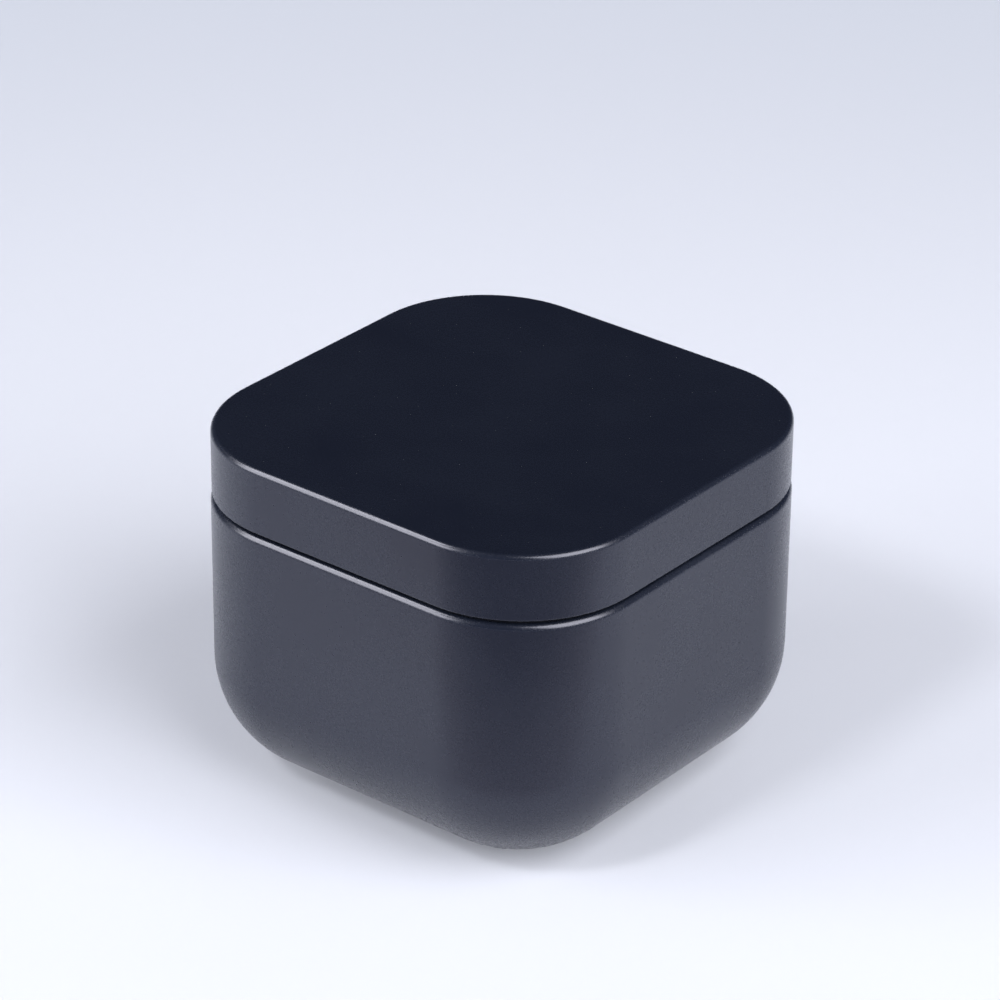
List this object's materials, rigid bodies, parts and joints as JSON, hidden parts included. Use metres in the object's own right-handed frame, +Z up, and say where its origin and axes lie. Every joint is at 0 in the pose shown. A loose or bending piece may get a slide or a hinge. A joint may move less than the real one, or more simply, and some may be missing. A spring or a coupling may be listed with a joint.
{
  "type": "dappen dish",
  "caption": "Square lidded pot with round corners and a bowl-shaped foot: a flush slip-on metal lid over a metal body with a lift-out glass well for nail liquid or powder.",
  "frame": {"origin": "centre of the underside, on the plane the dish rests on", "axes": "+Z up, out through the lid; X and Y square to the flat sides"},
  "size_m": [0.05, 0.05, 0.0389],
  "materials": {
    "body_metal": "satin black coating on drawn aluminium",
    "lid_metal": "satin black coating on drawn aluminium",
    "neck_plastic": "fine moulded satin",
    "liner_plastic": "fine moulded satin",
    "well_glass": "clear pressed glass, fire-polished edges",
    "seal_silicone": "translucent white silicone",
    "foot_rubber": "matt non-slip"
  },
  "bodies": {
    "body": {"body_shell": "body_metal", "foot_pad": "foot_rubber", "neck_collar": "neck_plastic", "cup_cushion": "seal_silicone"},
    "cup": {"well_cup": "well_glass"},
    "lid": {"lid_shell": "lid_metal", "lid_liner": "liner_plastic", "lid_gasket": "seal_silicone"}
  },
  "joints": [
    {"name": "cup_lift", "type": "slide", "parent": "body", "child": "cup", "axis": [0, 0, 1], "range_m": [0, 0.026]},
    {"name": "lid_lift", "type": "slide", "parent": "cup", "child": "lid", "axis": [0, 0, 1], "range_m": [0, 0.03]}
  ]
}
